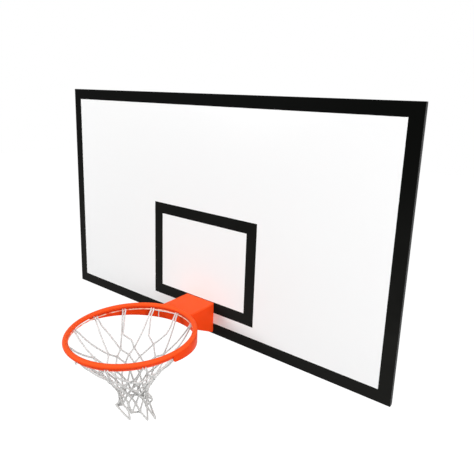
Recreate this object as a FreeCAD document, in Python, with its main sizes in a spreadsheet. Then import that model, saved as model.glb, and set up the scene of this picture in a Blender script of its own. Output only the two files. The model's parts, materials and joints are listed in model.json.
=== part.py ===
import FreeCAD, Part
import math
import os
import re
import Sketcher

# A basketball backboard with a fixed ring and its net. Millimetres, +Z up, the play side faces -Y.
# The origin is the centre of the four fixing holes, on the rear faces of the fixing lugs.

doc = FreeCAD.newDocument("Backboard")
Vector = FreeCAD.Vector
Z_AXIS = Vector(0, 0, 1)
# How far sketch lines reach when first drawn, before their dimensions set them
ROUGH = 100

# Driving sizes
SIZES = {
    # White panel with its black edging and the two black line films
    "board_width": 1800,
    "board_height": 1050,
    "panel_thickness": 20,
    "edging_thickness": 2,
    "film_thickness": 0.3,
    "film_inset": 1,
    "line_width": 50,
    "target_width": 590,
    "target_height": 450,
    "target_lift": 100,
    # Steel frame behind the panel
    "frame_inset": 60,
    "rail_width": 40,
    "rail_depth": 20,
    "rail_wall": 2,
    "upright_width": 40,
    "upright_depth": 40,
    "upright_wall": 2.5,
    "upright_spacing": 500,
    "tube_corner": 3.5,
    "cap_flange": 2,
    "cap_plug": 12,
    "cap_clearance": 0.2,
    # Lugs that take the stand or wall bracket
    "lug_thickness": 6,
    "lug_height": 60,
    "lug_hole_radius": 6.5,
    "fixing_width": 600,
    "fixing_height": 600,
    # Screws that hold the frame to the panel
    "screw_radius": 2.5,
    "screw_clearance": 0.2,
    "screw_bite": 14,
    "screw_tip": 4,
    "screw_head_radius": 5,
    "screw_head_height": 3.4,
    "screw_rim_height": 1.36,
    "screw_crown_radius": 2.5,
    "rail_screws": 4,
    "rail_screw_margin": 120,
    "stile_screws": 2,
    "stile_screw_margin": 175,
    # Ring and its bracket
    "ring_inner_diameter": 450,
    "bar_diameter": 20,
    "ring_standoff": 151,
    "ring_height": 150,
    "bracket_drop": 2,
    "bolt_side_margin": 25,
    "bolt_head_room": 18,
    "bolt_foot_margin": 25,
    "mount_plate_thickness": 8,
    "top_plate_thickness": 5,
    "gusset_thickness": 5,
    "seat_gap": 0.3,
    "skirt_thickness": 4,
    "skirt_drop": 60,
    "skirt_end_drop": 26,
    "skirt_sweep": 190,
    "skirt_corner": 12,
    # Bolts that clamp the ring through the panel to the backing plate
    "bolt_radius": 5,
    "bolt_clearance": 0.5,
    "bolt_spacing": 110,
    "bolt_rise": 90,
    "bolt_head_height": 6.4,
    "hex_across_flats": 17,
    "washer_radius": 10,
    "washer_thickness": 2,
    "nut_height": 8,
    "thread_clearance": 0.1,
    "bolt_tail": 2,
    "sleeve_radius": 9,
    "backing_margin": 24,
    "backing_thickness": 8,
    # Wire and tabs under the ring that carry the net
    "wire_diameter": 5,
    "wire_inset": 4,
    "wire_clearance": 4.5,
    "tab_width": 4,
    "tab_thickness": 4,
    # Net of knotted cord, hung from the wire
    "net_columns": 12,
    "net_rows": 8,
    "cord_diameter": 6,
    "net_length": 326,
    "net_first_row": 112,
    "net_waist_drop": 245,
    "net_waist_radius": 52,
    "net_hem_radius": 72,
    "net_taper": 1.35,
}

# Places worked out from the driving sizes
PLACES = {
    "panel_rear": "-(lug_thickness + upright_depth)",
    "panel_front": "panel_rear - panel_thickness",
    "film_front": "panel_front - film_thickness",
    "rail_rear": "panel_rear + rail_depth",
    "board_bottom": "-board_height / 2",
    "target_level": "board_bottom + target_lift + target_height / 2",
    "bar_radius": "bar_diameter / 2",
    "ring_radius": "ring_inner_diameter / 2 + bar_radius",
    "ring_axis": "panel_front - ring_standoff - ring_inner_diameter / 2",
    "ring_level": "board_bottom + ring_height - bar_radius",
    "bracket_width": "bolt_spacing + 2 * bolt_side_margin",
    "bracket_top": "board_bottom + ring_height - bracket_drop",
    "bolt_level": "bracket_top - top_plate_thickness - bolt_head_room - bolt_rise / 2",
    "mount_plate_height": "top_plate_thickness + bolt_head_room + bolt_rise + bolt_foot_margin",
    "plate_front": "film_front - mount_plate_thickness",
    "bracket_reach": "plate_front - ring_axis",
    "skirt_radius": "ring_radius + bar_radius",
    "skirt_bottom": "ring_level - skirt_drop",
    "skirt_slope": "(skirt_drop - skirt_end_drop) / (1 - cos(skirt_sweep / 2)) / skirt_radius",
    "gusset_reach": "sqrt(skirt_radius^2 - (bracket_width / 2)^2)",
    "gusset_toe": "skirt_bottom + skirt_slope * (skirt_radius - gusset_reach)",
    "top_rail_level": "board_height / 2 - frame_inset - rail_width / 2",
    "stile_reach": "board_width / 2 - frame_inset - rail_width / 2",
    "rail_length": "board_width - 2 * frame_inset",
    "stile_foot": "bolt_level + rail_width / 2",
    "stile_length": "top_rail_level - rail_width / 2 - stile_foot",
    "stile_middle": "stile_foot + stile_length / 2",
    "rail_screw_span": "rail_length - 2 * rail_screw_margin",
    "stile_screw_span": "stile_length - 2 * stile_screw_margin",
    "backing_rear": "rail_rear + backing_thickness",
    "wire_radius": "wire_diameter / 2",
    "wire_ring": "ring_radius - wire_inset",
    "wire_level": "ring_level - sqrt((bar_radius + wire_clearance + wire_radius)^2 - wire_inset^2)",
}


def tied(text):
    """Write an expression with the sheet in front of each named size or place."""
    sheets = {**dict.fromkeys(SIZES, "Sizes."), **dict.fromkeys(PLACES, "Places.")}
    return "".join(sheets.get(word, "") + word for word in re.split(r"(\w+)", text))


def fill(name, cells):
    """Make a sheet with one named cell in each row."""
    sheet = doc.addObject("Spreadsheet::Sheet", name)
    for row, (alias, content) in enumerate(cells.items(), start=1):
        sheet.set(f"A{row}", alias)
        sheet.set(f"B{row}", content)
        sheet.setAlias(f"B{row}", alias)
    doc.recompute()
    return sheet


sizes = fill("Sizes", {alias: str(number) for alias, number in SIZES.items()})
places = fill("Places", {alias: "=" + tied(text).replace("Places.", "") for alias, text in PLACES.items()})

nodes = []


def node(item, label):
    """Count an object as a sub-part under its own name."""
    item.Label = label
    nodes.append(item)
    return item


def bind(item, **expressions):
    """Tie properties of an object to expressions."""
    for name, text in expressions.items():
        item.setExpression(name, tied(text))


def put(item, x="0", y="0", z="0"):
    """Tie the place of an object to three expressions."""
    for axis, text in zip("xyz", (x, y, z)):
        item.setExpression("Placement.Base." + axis, tied(text))


# Sketches and features of the bodies

def new_sketch(body, role, x="0", y="0", lift="0"):
    """Attach a sketch to one of the body's own origin planes, shifted within that plane or lifted off it."""
    plane = next(item for item in body.Origin.OriginFeatures if item.Role == role)
    sketch = body.newObject("Sketcher::SketchObject", body.Name + "_sketch")
    sketch.AttachmentSupport = [(plane, "")]
    sketch.MapMode = "FlatFace"
    sketch.setExpression("AttachmentOffset.Base.x", tied(x))
    sketch.setExpression("AttachmentOffset.Base.y", tied(y))
    sketch.setExpression("AttachmentOffset.Base.z", tied(lift))
    return sketch


def measure(sketch, name, expression, *constraint):
    """Add a named dimension to a sketch and tie it to an expression."""
    index = sketch.addConstraint(Sketcher.Constraint(*constraint))
    sketch.renameConstraint(index, name)
    sketch.setExpression("Constraints." + name, tied(expression))


def draw_loop(sketch, corners, construction=False):
    """Draw a closed loop of lines and give their numbers."""
    lines = []
    for start, end in zip(corners, corners[1:] + corners[:1]):
        lines.append(sketch.addGeometry(Part.LineSegment(Vector(*start), Vector(*end)), construction))
    for here, after in zip(lines, lines[1:] + lines[:1]):
        sketch.addConstraint(Sketcher.Constraint("Coincident", here, 2, after, 1))
    return lines


def set_direction(sketch, direction, *lines):
    """Hold lines level or upright."""
    for line in lines:
        sketch.addConstraint(Sketcher.Constraint(direction, line))


def rectangle(sketch, name, wide, high, construction=False):
    """Draw a rectangle about the sketch's origin."""
    corners = [(-ROUGH, -ROUGH), (ROUGH, -ROUGH), (ROUGH, ROUGH), (-ROUGH, ROUGH)]
    lines = draw_loop(sketch, corners, construction)
    bottom, right, top, left = lines
    set_direction(sketch, "Horizontal", bottom, top)
    set_direction(sketch, "Vertical", right, left)
    sketch.addConstraint(Sketcher.Constraint("Symmetric", bottom, 1, top, 1, -1, 1))
    measure(sketch, name + "_wide", wide, "DistanceX", bottom, 1, bottom, 2, 2 * ROUGH)
    measure(sketch, name + "_high", high, "DistanceY", right, 1, right, 2, 2 * ROUGH)
    return lines


def hole(sketch, name, radius, *centre):
    """Draw a circle about a point of the sketch."""
    circle = sketch.addGeometry(Part.Circle(Vector(0, 0, 0), Z_AXIS, 1))
    measure(sketch, name, radius, "Radius", circle, 1)
    sketch.addConstraint(Sketcher.Constraint("Coincident", circle, 3, *centre))


def pad(body, sketch, length):
    feature = body.newObject("PartDesign::Pad", body.Name + "_pad")
    feature.Profile = sketch
    bind(feature, Length=length)
    doc.recompute()
    return feature


def pocket(body, sketch, depth=None):
    """Cut a sketch the way that its plane faces, through everything unless a depth is given."""
    before = body.Shape.Volume
    feature = body.newObject("PartDesign::Pocket", body.Name + "_pocket")
    feature.Profile = sketch
    feature.Reversed = True
    if depth:
        bind(feature, Length=depth)
    else:
        feature.Type = "ThroughAll"
    doc.recompute()
    if body.Shape.Volume >= before:
        raise RuntimeError("a pocket cuts nothing in " + body.Name)
    return feature


def round_edges(body, chosen, radius):
    """Round the edges of a body that a test picks."""
    base = body.Tip
    edges = [f"Edge{number}" for number, edge in enumerate(base.Shape.Edges, start=1) if chosen(edge)]
    rounding = body.newObject("PartDesign::Fillet", body.Name + "_rounding")
    rounding.Base = (base, edges)
    bind(rounding, Radius=radius)
    doc.recompute()


def bolt_holes(body, level):
    """Cut the four ring bolt holes, with the middle of their pattern at a level of the body."""
    sketch = new_sketch(body, "XZ_Plane", y=level)
    pattern = rectangle(sketch, "bolts", "bolt_spacing", "bolt_rise", construction=True)
    for number, line in enumerate(pattern):
        hole(sketch, f"hole_{number}", "bolt_radius + bolt_clearance", line, 1)
    pocket(body, sketch)


def screw_holes(body, axis, count, span, x="0", y="0", depth=None):
    """Cut a straight row of screw holes, with its middle at a point of the body's XZ plane."""
    middle = {"H_Axis": x, "V_Axis": y}
    middle[axis] += f" - {span} / 2"
    sketch = new_sketch(body, "XZ_Plane", middle["H_Axis"], middle["V_Axis"])
    hole(sketch, "hole", "screw_radius + screw_clearance", -1, 1)
    first = pocket(body, sketch, depth)
    row = body.newObject("PartDesign::LinearPattern", body.Name + "_row")
    row.Originals = [first]
    row.Direction = (sketch, [axis])
    bind(row, Length=span, Occurrences=count)
    body.Tip = row
    doc.recompute()


def new_body(label):
    return node(doc.addObject("PartDesign::Body", label), label)


def plate(label, wide, high, thick, x="0", y="0", z="0"):
    """Pad a rectangle from a place towards the play side."""
    body = new_body(label)
    put(body, x, y, z)
    sketch = new_sketch(body, "XZ_Plane")
    rectangle(sketch, "plate", wide, high)
    pad(body, sketch, thick)
    return body


# Board: panel, edging and line films

RAIL_ROW = ("H_Axis", "rail_screws", "rail_screw_span")
STILE_ROW = ("V_Axis", "stile_screws", "stile_screw_span")


def make_panel():
    body = plate("board_panel", "board_width - 2 * edging_thickness", "board_height - 2 * edging_thickness",
                 "panel_thickness", y="panel_rear")
    bolt_holes(body, "bolt_level")
    depth = "screw_bite + screw_clearance"
    for level in ("top_rail_level", "bolt_level"):
        screw_holes(body, *RAIL_ROW, y=level, depth=depth)
    for reach in ("stile_reach", "-stile_reach"):
        screw_holes(body, *STILE_ROW, x=reach, y="stile_middle", depth=depth)


def make_edging():
    """Cover the panel's edges, with the side strips between the top and bottom ones."""
    side_high = "board_height - 2 * edging_thickness"
    side_low = "board_bottom + edging_thickness"
    strips = {
        "top": ("board_width", "edging_thickness", "-board_width / 2", "board_height / 2 - edging_thickness"),
        "bottom": ("board_width", "edging_thickness", "-board_width / 2", "board_bottom"),
        "left": ("edging_thickness", side_high, "-board_width / 2", side_low),
        "right": ("edging_thickness", side_high, "board_width / 2 - edging_thickness", side_low),
    }
    for side, (length, height, x, z) in strips.items():
        strip = node(doc.addObject("Part::Box", f"edge_band_{side}"), f"edge_band_{side}")
        bind(strip, Length=length, Width="panel_thickness", Height=height)
        put(strip, x, "panel_front", z)


def new_cut(label, base, tool):
    cut = node(doc.addObject("Part::Cut", label), label)
    cut.Base = base
    cut.Tool = tool
    return cut


def make_line(label, level, outer, inner, bolt_room):
    """Lay a frame of black film on the panel's face, holed where it meets the ring bolts."""
    body = doc.addObject("PartDesign::Body", label + "_film")
    put(body, y="panel_front", z=level)
    sketch = new_sketch(body, "XZ_Plane")
    rectangle(sketch, "outer", *outer)
    rectangle(sketch, "inner", *inner)
    pad(body, sketch, "film_thickness")
    new_cut(label, body, bolt_room)


def make_bolt_room():
    """Set clearance rods through the films at the four ring bolts."""
    rods = []
    for x in ("-bolt_spacing / 2", "bolt_spacing / 2"):
        for z in ("bolt_level - bolt_rise / 2", "bolt_level + bolt_rise / 2"):
            rod = doc.addObject("Part::Cylinder", "bolt_rod")
            rod.Placement.Rotation = FreeCAD.Rotation(Vector(1, 0, 0), 90)
            bind(rod, Radius="bolt_radius + bolt_clearance", Height="film_thickness")
            put(rod, x, "panel_front", z)
            rods.append(rod)
    room = doc.addObject("Part::MultiFuse", "bolt_room")
    room.Shapes = rods
    return room


def make_lines():
    bolt_room = make_bolt_room()
    make_line("border_line", "0",
              ("board_width - 2 * film_inset", "board_height - 2 * film_inset"),
              ("board_width - 2 * line_width", "board_height - 2 * line_width"), bolt_room)
    make_line("target_line", "target_level",
              ("target_width", "target_height"),
              ("target_width - 2 * line_width", "target_height - 2 * line_width"), bolt_room)


# Frame behind the board: tubes, end caps, lugs and screws

def make_tube(label, role, section, wall, length, x="0", y="0"):
    """Pad a section, round its corners and bore it hollow. Its rear face lies on the body's XZ plane."""
    body = new_body(label)
    outside = new_sketch(body, role, x, y)
    rectangle(outside, "outer", *section)
    bar = pad(body, outside, length)
    longest = max(edge.Length for edge in bar.Shape.Edges)
    round_edges(body, lambda edge: longest - edge.Length < sizes.seat_gap, "tube_corner")
    inside = new_sketch(body, role, x, y)
    rectangle(inside, "inner", *(f"{side} - 2 * {wall}" for side in section))
    pocket(body, inside)
    return body


def make_frame():
    """Join two rails with two stiles and two uprights. The bottom rail lies level with the ring's bolts."""
    for side, level in (("top", "top_rail_level"), ("bottom", "bolt_level")):
        rail = make_tube(f"frame_{side}_rail", "YZ_Plane", ("rail_depth", "rail_width"), "rail_wall",
                         "rail_length", x="-rail_depth / 2")
        put(rail, "-rail_length / 2", "rail_rear", level)
        screw_holes(rail, *RAIL_ROW, x="rail_length / 2")
    for side, sign in (("left", "-"), ("right", "")):
        stile = make_tube(f"frame_{side}_stile", "XY_Plane", ("rail_width", "rail_depth"), "rail_wall",
                          "stile_length", y="-rail_depth / 2")
        put(stile, sign + "stile_reach", "rail_rear", "stile_foot")
        screw_holes(stile, *STILE_ROW, y="stile_length / 2")
        upright = make_tube(f"frame_{side}_upright", "XY_Plane", ("upright_width", "upright_depth"),
                            "upright_wall", "stile_length", y="-upright_depth / 2")
        put(upright, sign + "upright_spacing / 2", "-lug_thickness", "stile_foot")


def make_lugs():
    """Stand a round-ended lug out from each upright, near its top and its bottom."""
    for side, sign in (("left", "-"), ("right", "")):
        for height, lift in (("lower", "-"), ("upper", "")):
            label = f"fixing_lug_{height}_{side}"
            tongue = doc.addObject("Part::Box", label + "_tongue")
            inner_edge = "(upright_spacing - upright_width) / 2"
            bind(tongue, Length=f"fixing_width / 2 - {inner_edge}", Width="lug_thickness",
                 Height="lug_height")
            left_edge = "-fixing_width / 2" if sign else inner_edge
            put(tongue, left_edge, "-lug_thickness", f"{lift}fixing_height / 2 - lug_height / 2")
            rounds = []
            for name, radius in (("end", "lug_height / 2"), ("hole", "lug_hole_radius")):
                rod = doc.addObject("Part::Cylinder", f"{label}_{name}")
                rod.Placement.Rotation = FreeCAD.Rotation(Vector(1, 0, 0), 90)
                bind(rod, Radius=radius, Height="lug_thickness")
                put(rod, f"{sign}fixing_width / 2", "0", f"{lift}fixing_height / 2")
                rounds.append(rod)
            outline = doc.addObject("Part::Fuse", label + "_outline")
            outline.Base = tongue
            outline.Tool = rounds[0]
            outline.Refine = True
            new_cut(label, outline, rounds[1])


def group(label, solids):
    """Keep like pieces together as separate solids of one sub-part."""
    item = node(doc.addObject("Part::Feature", label), label)
    item.Shape = Part.makeCompound(solids)
    return item


def turned(profile):
    """Turn a half profile of (radius, height) points about the Z axis."""
    points = [Vector(radius, 0, height) for radius, height in profile]
    return Part.Face(Part.makePolygon(points + points[:1])).revolve(Vector(), Z_AXIS, 360)


def set_along_y(shape, x, y, z):
    """Lay a piece made along +Z so that it points at the play side, with its foot at a place."""
    copy = shape.copy()
    copy.Placement = FreeCAD.Placement(Vector(x, y, z), FreeCAD.Rotation(Vector(1, 0, 0), 90))
    return copy


def row_places(count, span, middle=0):
    """Space places evenly over a span about its middle."""
    step = span / max(count - 1, 1)
    return [middle - span / 2 + step * index for index in range(int(count))]


def make_caps():
    """Close the open ends of the two rails."""
    inside = sizes.rail_wall + sizes.cap_clearance
    solids = []
    for side in (-1, 1):
        for level in (places.bolt_level, places.top_rail_level):
            corner = Vector(0, -sizes.rail_depth / 2, -sizes.rail_width / 2)
            flange = Part.makeBox(sizes.cap_flange, sizes.rail_depth, sizes.rail_width, corner)
            outer_edges = [edge for edge in flange.Edges if edge.BoundBox.XLength > sizes.cap_flange / 2]
            flange = flange.makeFillet(sizes.tube_corner, outer_edges)
            plug = Part.makeBox(sizes.cap_plug, sizes.rail_depth - 2 * inside, sizes.rail_width - 2 * inside,
                                corner + Vector(-sizes.cap_plug, inside, inside))
            cap = flange.fuse(plug).removeSplitter()
            middle = Vector(side * places.rail_length / 2, places.rail_rear - sizes.rail_depth / 2, level)
            cap.Placement = FreeCAD.Placement(middle, FreeCAD.Rotation(Z_AXIS, 0 if side > 0 else 180))
            solids.append(cap)
    group("rail_end_caps", solids)


def make_screws():
    """Hold the rails and stiles to the panel with pan-head screws from behind."""
    reach = sizes.rail_depth + sizes.screw_bite
    head = sizes.screw_head_radius
    screw = turned([(0, -sizes.screw_head_height), (sizes.screw_crown_radius, -sizes.screw_head_height),
                    (head, -sizes.screw_rim_height), (head, 0), (sizes.screw_radius, 0),
                    (sizes.screw_radius, reach - sizes.screw_tip), (0, reach)])
    along_rails = row_places(sizes.rail_screws, places.rail_screw_span)
    along_stiles = row_places(sizes.stile_screws, places.stile_screw_span, places.stile_middle)
    spots = [(x, z) for z in (places.bolt_level, places.top_rail_level) for x in along_rails]
    spots += [(x, z) for x in (-places.stile_reach, places.stile_reach) for z in along_stiles]
    group("frame_screws", [set_along_y(screw, x, places.rail_rear, z) for x, z in spots])


# Ring fastening: bolts, washers, nuts, sleeves and backing plate

def bolt_spots():
    """Give the X and Z of the four ring bolts."""
    across = (-sizes.bolt_spacing / 2, sizes.bolt_spacing / 2)
    levels = (places.bolt_level - sizes.bolt_rise / 2, places.bolt_level + sizes.bolt_rise / 2)
    return [(x, z) for z in levels for x in across]


def hex_prism(height):
    """Make a hexagon bar with its corners turned off at the far end."""
    corner = sizes.hex_across_flats / math.sqrt(3)
    points = [Vector(corner, 0, 0)]
    for turn in range(1, 7):
        points.append(FreeCAD.Rotation(Z_AXIS, 60 * turn).multVec(points[0]))
    bar = Part.Face(Part.makePolygon(points)).extrude(Vector(0, 0, height))
    flat = sizes.hex_across_flats / 2
    dome = turned([(0, 0), (corner, 0), (corner, height - (corner - flat) / 2), (flat, height), (0, height)])
    return bar.common(dome)


def ring_of(outer, inner, height):
    """Make a plain round spacer."""
    return Part.makeCylinder(outer, height).cut(Part.makeCylinder(inner, height))


def make_ring_fastening():
    hole_radius = sizes.bolt_radius + sizes.bolt_clearance
    backing = plate("ring_backing_plate", "bolt_spacing + 2 * backing_margin",
                    "bolt_rise + 2 * backing_margin", "backing_thickness", y="backing_rear", z="bolt_level")
    bolt_holes(backing, "0")
    sleeve = ring_of(sizes.sleeve_radius, hole_radius, sizes.rail_depth)
    group("bolt_sleeves", [set_along_y(sleeve, x, places.rail_rear, z) for x, z in bolt_spots()])

    washer = ring_of(sizes.washer_radius, hole_radius, sizes.washer_thickness)
    washer_rear = places.backing_rear + sizes.washer_thickness
    fronts = (places.plate_front, washer_rear)
    group("ring_bolt_washers", [set_along_y(washer, x, y, z) for y in fronts for x, z in bolt_spots()])

    nut_rear = washer_rear + sizes.nut_height
    bore = Part.makeCylinder(sizes.bolt_radius + sizes.thread_clearance, sizes.nut_height)
    nut = hex_prism(sizes.nut_height).cut(bore)
    nut.rotate(Vector(0, 0, sizes.nut_height / 2), Vector(1, 0, 0), 180)
    group("ring_bolt_nuts", [set_along_y(nut, x, nut_rear, z) for x, z in bolt_spots()])

    tail = nut_rear + sizes.bolt_tail
    grip = tail - places.plate_front + sizes.washer_thickness
    head = hex_prism(sizes.bolt_head_height).translated(Vector(0, 0, grip))
    bolt = Part.makeCylinder(sizes.bolt_radius, grip).fuse(head)
    group("ring_bolts", [set_along_y(bolt, x, tail, z) for x, z in bolt_spots()])


# Ring: bar, skirt and welded bracket

def new_torus(name, big, small, level):
    """Set a torus about the ring's axis."""
    torus = doc.addObject("Part::Torus", name)
    bind(torus, Radius1=big, Radius2=small)
    put(torus, "0", "ring_axis", level)
    return torus


def new_drum(name, radius):
    """Set a tall cylinder about the ring's axis, to trim what comes up to the ring."""
    drum = doc.addObject("Part::Cylinder", name)
    bind(drum, Radius=radius, Height="2 * board_height")
    put(drum, "0", "ring_axis", "-board_height")
    return drum


def make_ring():
    node(new_torus("ring_bar", "ring_radius", "bar_radius", "ring_level"), "ring_bar")
    bar_room = new_torus("bar_room", "ring_radius", "bar_radius + seat_gap", "ring_level")
    hoop_room = doc.addObject("Part::Fuse", "hoop_room")
    hoop_room.Base = bar_room
    hoop_room.Tool = new_drum("hoop_drum", "ring_radius")
    skirt_drum = new_drum("skirt_drum", "skirt_radius + seat_gap")
    make_skirt(bar_room)

    mount_plate = plate("ring_mount_plate", "bracket_width", "mount_plate_height", "mount_plate_thickness",
                        y="film_front", z="bracket_top - mount_plate_height / 2")
    bolt_holes(mount_plate, "bolt_level - bracket_top + mount_plate_height / 2")

    top_blank = doc.addObject("Part::Box", "top_plate_blank")
    bind(top_blank, Length="bracket_width", Width="bracket_reach", Height="top_plate_thickness")
    put(top_blank, "-bracket_width / 2", "ring_axis", "bracket_top - top_plate_thickness")
    new_cut("ring_top_plate", top_blank, hoop_room)

    for side, x in (("left", "-bracket_width / 2"), ("right", "bracket_width / 2 - gusset_thickness")):
        new_cut(f"ring_gusset_{side}", gusset_blank(f"gusset_blank_{side}", x), skirt_drum)


def make_skirt(bar_room):
    """Wrap a band round the rear of the ring, under the outside of the bar, shallower towards its ends."""
    body = doc.addObject("PartDesign::Body", "skirt_band")
    put(body, "0", "ring_axis", "skirt_bottom")
    body.Placement.Rotation = FreeCAD.Rotation(Z_AXIS, 90)
    sketch = new_sketch(body, "XZ_Plane", x="skirt_radius - skirt_thickness / 2", y="skirt_drop / 2")
    rectangle(sketch, "band", "skirt_thickness", "skirt_drop")
    band = body.newObject("PartDesign::Revolution", "skirt_band_turn")
    band.Profile = sketch
    band.ReferenceAxis = (next(item for item in body.Origin.OriginFeatures if item.Role == "Z_Axis"), [""])
    bind(band, Angle="skirt_sweep")
    band.Midplane = True
    doc.recompute()
    pocket(body, skirt_taper(body))
    round_edges(body, end_corner, "skirt_corner")
    new_cut("ring_skirt", body, bar_room)


def skirt_taper(body):
    """Draw the wedge that is cut from under the band, from nothing at the rear of the ring."""
    sketch = new_sketch(body, "XZ_Plane", x="skirt_radius", lift="-2 * skirt_radius")
    lines = draw_loop(sketch, [(0, 0), (-ROUGH, ROUGH), (-ROUGH, 0)])
    slope, front, foot = lines
    set_direction(sketch, "Vertical", front)
    set_direction(sketch, "Horizontal", foot)
    sketch.addConstraint(Sketcher.Constraint("Coincident", slope, 1, -1, 1))
    measure(sketch, "length", "2 * skirt_radius", "DistanceX", foot, 1, foot, 2, ROUGH)
    measure(sketch, "rise", "2 * skirt_radius * skirt_slope", "DistanceY", front, 2, front, 1, ROUGH)
    return sketch


def end_corner(edge):
    """Tell whether an edge is the lower one across an end of the skirt."""
    ends = [vertex.Point for vertex in edge.Vertexes]
    if len(ends) < 2 or abs(edge.Length - sizes.skirt_thickness) > sizes.seat_gap:
        return False
    return max(end.z for end in ends) < sizes.skirt_drop - sizes.seat_gap


def gusset_blank(name, x):
    """Draw a side cheek that tapers from the mount plate to the skirt."""
    body = doc.addObject("PartDesign::Body", name)
    put(body, x, "plate_front", "bracket_top - top_plate_thickness")
    sketch = new_sketch(body, "YZ_Plane")
    lines = draw_loop(sketch, [(-ROUGH, 0), (0, 0), (0, -ROUGH), (-ROUGH, -ROUGH / 2)])
    top, rear, slope, front = lines
    set_direction(sketch, "Horizontal", top)
    set_direction(sketch, "Vertical", rear, front)
    sketch.addConstraint(Sketcher.Constraint("Coincident", top, 2, -1, 1))
    measure(sketch, "reach", "bracket_reach - gusset_reach", "DistanceX", top, 1, top, 2, ROUGH)
    measure(sketch, "heel", "mount_plate_height - top_plate_thickness", "DistanceY", rear, 2, rear, 1, ROUGH)
    toe = "bracket_top - top_plate_thickness - gusset_toe"
    measure(sketch, "toe", toe, "DistanceY", front, 1, front, 2, ROUGH / 2)
    pad(body, sketch, "gusset_thickness")
    return body


# Net: wire, tabs and knotted cord

def make_net_wire():
    """Hang a thin wire ring under the bar on short welded tabs, one for each loop of the net."""
    node(new_torus("net_wire", "wire_ring", "wire_radius", "wire_level"), "net_wire")
    rooms = []
    for big, small, level in ((places.ring_radius, places.bar_radius, places.ring_level),
                              (places.wire_ring, places.wire_radius, places.wire_level)):
        room = Part.makeTorus(big, small + sizes.seat_gap)
        rooms.append(room.translated(Vector(0, 0, level)))
    middle = (places.ring_radius + places.wire_ring) / 2
    corner = Vector(middle - sizes.tab_thickness / 2, -sizes.tab_width / 2, places.wire_level)
    blank = Part.makeBox(sizes.tab_thickness, sizes.tab_width, places.ring_level - places.wire_level, corner)
    tab = blank.cut(rooms)
    tabs = []
    for column in range(int(sizes.net_columns)):
        copy = tab.copy()
        turn = FreeCAD.Rotation(Z_AXIS, column * 360 / sizes.net_columns - 90)
        copy.Placement = FreeCAD.Placement(Vector(0, places.ring_axis, 0), turn)
        tabs.append(copy)
    group("net_tabs", tabs)


def net_radius(drop):
    """Give the net's radius at a drop below the wire: it gathers to a waist, then flares to its hem."""
    waist = sizes.net_waist_radius
    if drop < sizes.net_waist_drop:
        left = 1 - drop / sizes.net_waist_drop
        return waist + (places.wire_ring - waist) * left ** sizes.net_taper
    below = (drop - sizes.net_waist_drop) / (sizes.net_length - sizes.net_waist_drop)
    return waist + (sizes.net_hem_radius - waist) * below ** 2


def net_knot(row, step):
    """Give the place of a knot and the outward direction there. Steps are half columns."""
    first_drop = places.wire_radius + sizes.seat_gap
    if row == 0:
        drop = first_drop
    else:
        pitch = (sizes.net_length - sizes.net_first_row) / (sizes.net_rows - 1)
        drop = sizes.net_first_row + pitch * (row - 1)
    outward = FreeCAD.Rotation(Z_AXIS, step * 180 / sizes.net_columns - 90).multVec(Vector(1, 0, 0))
    radius = places.wire_ring if row == 0 else net_radius(drop)
    return Vector(0, places.ring_axis, places.wire_level - drop) + outward * radius, outward


def gap_corners(knots):
    """Shrink a gap of the net towards its middle, to leave half a cord along its sides."""
    points = [point for point, outward in knots]
    middle = sum(points, Vector()) / len(points)
    sides = [middle.distanceToLine(a, b - a) for a, b in zip(points, points[1:])]
    share = sizes.cord_diameter / 2 / min(sides)
    return [point + (middle - point) * share for point in points]


def triangle(*corners):
    return Part.Face(Part.makePolygon([*corners, corners[0]]))


def cord_faces(knots, corners, closed):
    """Face the cords round one gap: a ridge outside and inside, down to the gap's edge between them."""
    ridge = sizes.cord_diameter / 2
    outer = [point + outward * ridge for point, outward in knots]
    inner = [point - outward * ridge for point, outward in knots]
    faces = []
    for a in range(len(knots) if closed else len(knots) - 1):
        b = (a + 1) % len(knots)
        faces.append(triangle(outer[a], outer[b], corners[b]))
        faces.append(triangle(outer[a], corners[b], corners[a]))
        faces.append(triangle(inner[b], inner[a], corners[b]))
        faces.append(triangle(inner[a], corners[a], corners[b]))
    return faces


def end_faces(knot, first, second):
    """Close the cord's end at a loop or at the hem."""
    point, outward = knot
    ridge = outward * (sizes.cord_diameter / 2)
    return [triangle(point + ridge, first, point - ridge), triangle(point + ridge, point - ridge, second)]


def make_net():
    """Knit the net as one solid: diamonds between the rows, open gaps at the loops and the hem."""
    columns = int(sizes.net_columns)
    last = int(sizes.net_rows)
    faces = []
    for row in range(1, last):
        for step in range((row - 1) % 2, 2 * columns, 2):
            spots = ((row + 1, step), (row, step + 1), (row - 1, step), (row, step - 1))
            knots = [net_knot(*spot) for spot in spots]
            corners = gap_corners(knots + knots[:1])[:4]
            faces += cord_faces(knots, corners, closed=True)
    for row, inside, turn in ((0, 1, 1), (last, last - 1, -1)):
        ends = {}
        for step in range(row % 2, 2 * columns, 2):
            knots = [net_knot(row, step), net_knot(inside, step + turn), net_knot(row, step + 2 * turn)]
            corners = gap_corners(knots)
            faces += cord_faces(knots, corners, closed=False)
            ends.setdefault(step, {})["ahead"] = corners[0]
            ends.setdefault((step + 2 * turn) % (2 * columns), {})["behind"] = corners[2]
        for step, end in ends.items():
            faces += end_faces(net_knot(row, step), end["ahead"], end["behind"])
    shell = Part.makeShell(faces)
    shell.sewShape()
    item = node(doc.addObject("Part::Feature", "net"), "net")
    item.Shape = Part.makeSolid(Part.Shell(shell.Faces))


# Build, check and write every sub-part

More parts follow.
